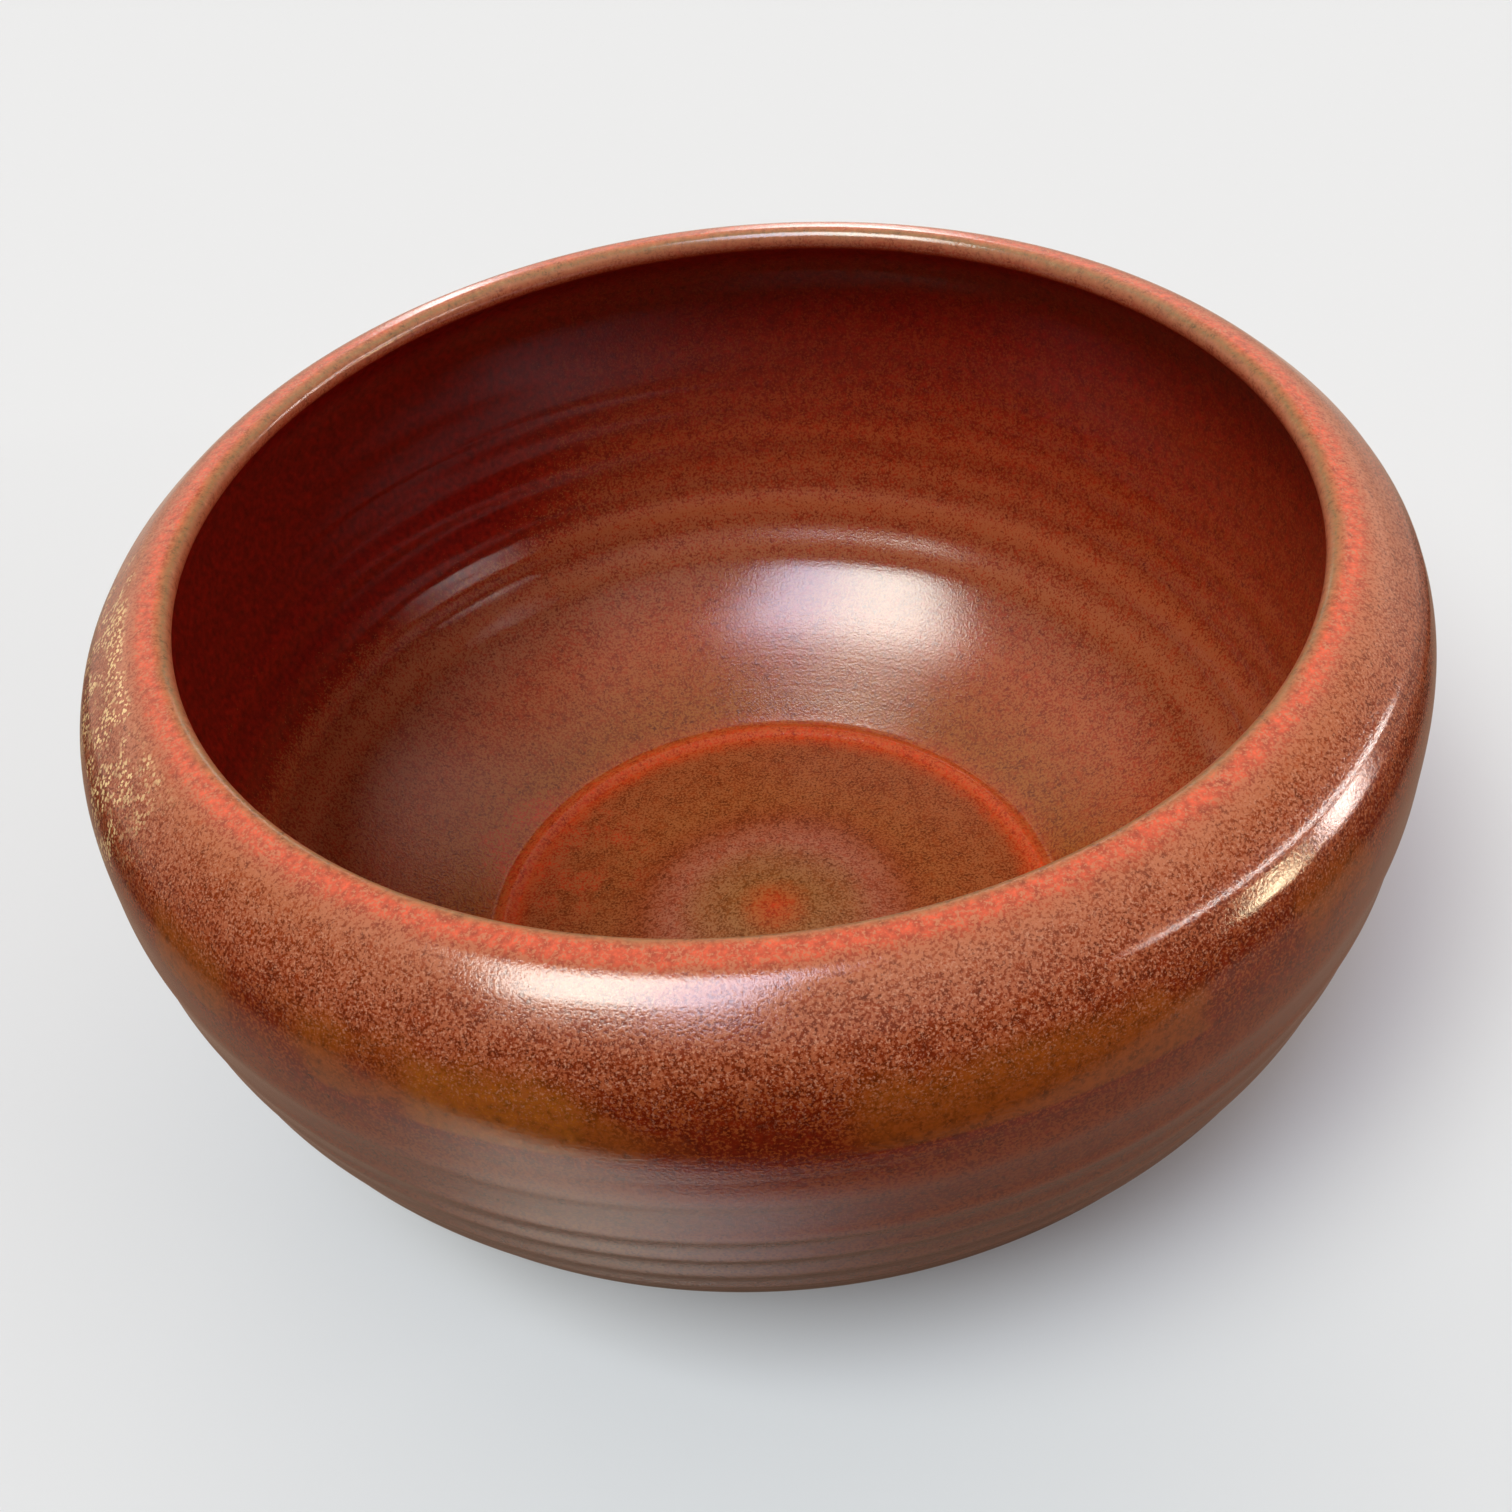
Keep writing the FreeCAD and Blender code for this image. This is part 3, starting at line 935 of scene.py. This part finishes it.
# Openings that light the room: azimuth and elevation of the middle, and twist, in degrees, then
# half width, half height and softness, as tangents. The window is split into a warm and a cool part,
# and each small pane has its own colour
WINDOW = (232.5, 60.4, 16.0, 0.275, 0.285, 0.02)
FACING = 0.1
WINDOW_SPLIT = (0.02, 0.08)
WINDOW_WARM = (10.2, 10.6, 9.8)
WINDOW_COOL = (6.0, 6.4, 8.0)
SMALL_PANES = (
    ((343.5, 2.5, 0.0, 0.075, 0.055, 0.01), (20.0, 17.0, 11.0)),
    ((0.0, 1.5, 0.0, 0.085, 0.055, 0.01), (20.0, 16.5, 15.0)),
    ((351.5, 16.5, -25.0, 0.52, 0.016, 0.01), (22.0, 21.0, 20.0)),
    ((85.0, 12.0, 0.0, 0.07, 0.14, 0.02), (6.0, 5.7, 5.5)),
    ((102.5, 6.0, 0.0, 0.03, 0.10, 0.02), (6.0, 5.8, 5.8)),
)


def opening(paint, direction, azimuth, elevation, twist, half_width, half_height, soft):
    """How much of a light's opening lies in a direction, and how far across it that is."""
    middle = bearing(azimuth, elevation)
    level = Vector((-math.sin(math.radians(azimuth)), math.cos(math.radians(azimuth)), 0))
    above = middle.cross(level)
    twist = math.radians(twist)
    aside = level * math.cos(twist) + above * math.sin(twist)
    above = above * math.cos(twist) - level * math.sin(twist)
    ahead = paint.dot(direction, middle)
    across = paint.reckon("DIVIDE", paint.dot(direction, aside), ahead)
    up = paint.reckon("DIVIDE", paint.dot(direction, above), ahead)
    wide = paint.step(paint.reckon("ABSOLUTE", across), half_width + soft, half_width - soft)
    tall = paint.step(paint.reckon("ABSOLUTE", up), half_height + soft, half_height - soft)
    facing = paint.reckon("GREATER_THAN", ahead, FACING)
    return paint.product(wide, tall, facing), across


def light_studio():
    """A soft room with one large window high at the front left, and small low lights right and behind."""
    world = bpy.data.worlds.new("studio")
    bpy.context.scene.world = world
    paint = Paint(world)
    direction = paint.node("ShaderNodeTexCoord").outputs["Generated"]
    _, depth, height = paint.node("ShaderNodeSeparateXYZ", {0: direction}).outputs
    room = paint.ramp(height, ROOM_LEVELS)
    behind = paint.product(paint.step(depth, *BACK_FROM), paint.step(height, *BACK_ABOVE))
    room = paint.blend(behind, room, BACK_LIGHT)
    share, across = opening(paint, direction, *WINDOW)
    pane = paint.blend(paint.step(across, *WINDOW_SPLIT), WINDOW_WARM, WINDOW_COOL)
    room = paint.blend(share, room, pane)
    for shape, colour in SMALL_PANES:
        room = paint.blend(opening(paint, direction, *shape)[0], room, colour)
    seen = paint.node("ShaderNodeLightPath").outputs["Is Camera Ray"]
    light = paint.node("ShaderNodeBackground", {"Color": room})
    backdrop = paint.node("ShaderNodeBackground", {"Color": PALE})
    shown = paint.node("ShaderNodeMixShader", {0: seen, 1: light.outputs[0], 2: backdrop.outputs[0]})
    paint.node("ShaderNodeOutputWorld", {"Surface": shown.outputs[0]})


def make_floor():
    """The floor: pale and even as it is seen, and a small warm table as the bowl's glaze reflects it."""
    material = bpy.data.materials.new("pale_floor")
    paint = Paint(material)
    pale = paint.node("ShaderNodeBsdfDiffuse", {"Color": FLOOR_COLOUR}).outputs[0]
    x, y, _ = paint.node("ShaderNodeSeparateXYZ", {0: paint.place()}).outputs
    aside = paint.reckon("ABSOLUTE", x)
    beside = paint.step(aside, TABLE_HALF_WIDTH - TABLE_EDGE, TABLE_HALF_WIDTH + TABLE_EDGE)
    ahead = paint.step(y, TABLE_FRONT + TABLE_EDGE, TABLE_FRONT - TABLE_EDGE)
    beyond = paint.largest(beside, ahead)
    top = paint.blend(beyond, TABLE_COLOUR, BEYOND_TABLE)
    top = paint.blend(paint.step(y, *TABLE_BACK), top, BACK_OF_ROOM)
    sheen = paint.blend(beyond, TABLE_SHEEN, BEYOND_TABLE)
    matt = paint.node("ShaderNodeBsdfDiffuse", {"Color": top}).outputs[0]
    gloss = paint.node("ShaderNodeBsdfGlossy", {"Color": sheen, "Roughness": TABLE_ROUGHNESS}).outputs[0]
    table = paint.node("ShaderNodeMixShader", {0: TABLE_GLOSS, 1: matt, 2: gloss}).outputs[0]
    seen = paint.node("ShaderNodeLightPath").outputs["Is Camera Ray"]
    shown = paint.node("ShaderNodeMixShader", {0: seen, 1: table, 2: pale}).outputs[0]
    paint.node("ShaderNodeOutputMaterial", {"Surface": shown})
    reach = FLOOR_REACH * MM
    mesh = bpy.data.meshes.new("floor")
    corners = [(-reach, -reach, 0), (reach, -reach, 0), (reach, reach, 0), (-reach, reach, 0)]
    mesh.from_pydata(corners, [], [(0, 1, 2, 3)])
    mesh.materials.append(material)
    floor = bpy.data.objects.new("floor", mesh)
    bpy.context.scene.collection.objects.link(floor)


def aim_camera():
    """The camera where the photograph was taken from."""
    middle = Vector((0, 0, WIDEST_HEIGHT * MM))
    away = Vector((0, -math.cos(CAMERA_ELEVATION), math.sin(CAMERA_ELEVATION)))
    right = Vector((1, 0, 0))
    up = right.cross(-away)
    ahead = (-away + right * math.tan(CAMERA_TURN) + up * math.tan(CAMERA_DROP)).normalized()
    level = ahead.cross(Vector((0, 0, 1))).normalized()
    above = level.cross(ahead)
    right = level * math.cos(CAMERA_ROLL) + above * math.sin(CAMERA_ROLL)
    up = above * math.cos(CAMERA_ROLL) - level * math.sin(CAMERA_ROLL)
    lens = bpy.data.cameras.new("camera")
    lens.lens = LENS
    lens.sensor_width = SENSOR
    lens.clip_start = CLIP_START * MM
    camera = bpy.data.objects.new("camera", lens)
    bpy.context.scene.collection.objects.link(camera)
    place = Matrix((right, up, -ahead)).transposed().to_4x4()
    place.translation = middle + away * CAMERA_DISTANCE * MM
    camera.matrix_world = place
    bpy.context.scene.camera = camera


def dress(piece, material, node):
    """Gives a piece its material and its place in the frame."""
    piece.data.materials.append(material)
    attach(piece, "root")
    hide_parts(node)


dress(make_outside_glaze(), make_glaze("outside_glaze"), "glaze_outside")
dress(make_inside_glaze(), make_glaze("inside_glaze"), "glaze_inside")
dress(make_clay(), make_bare_clay(), "clay_body")
make_floor()
light_studio()
aim_camera()
bpy.context.scene.view_settings.view_transform = "Standard"
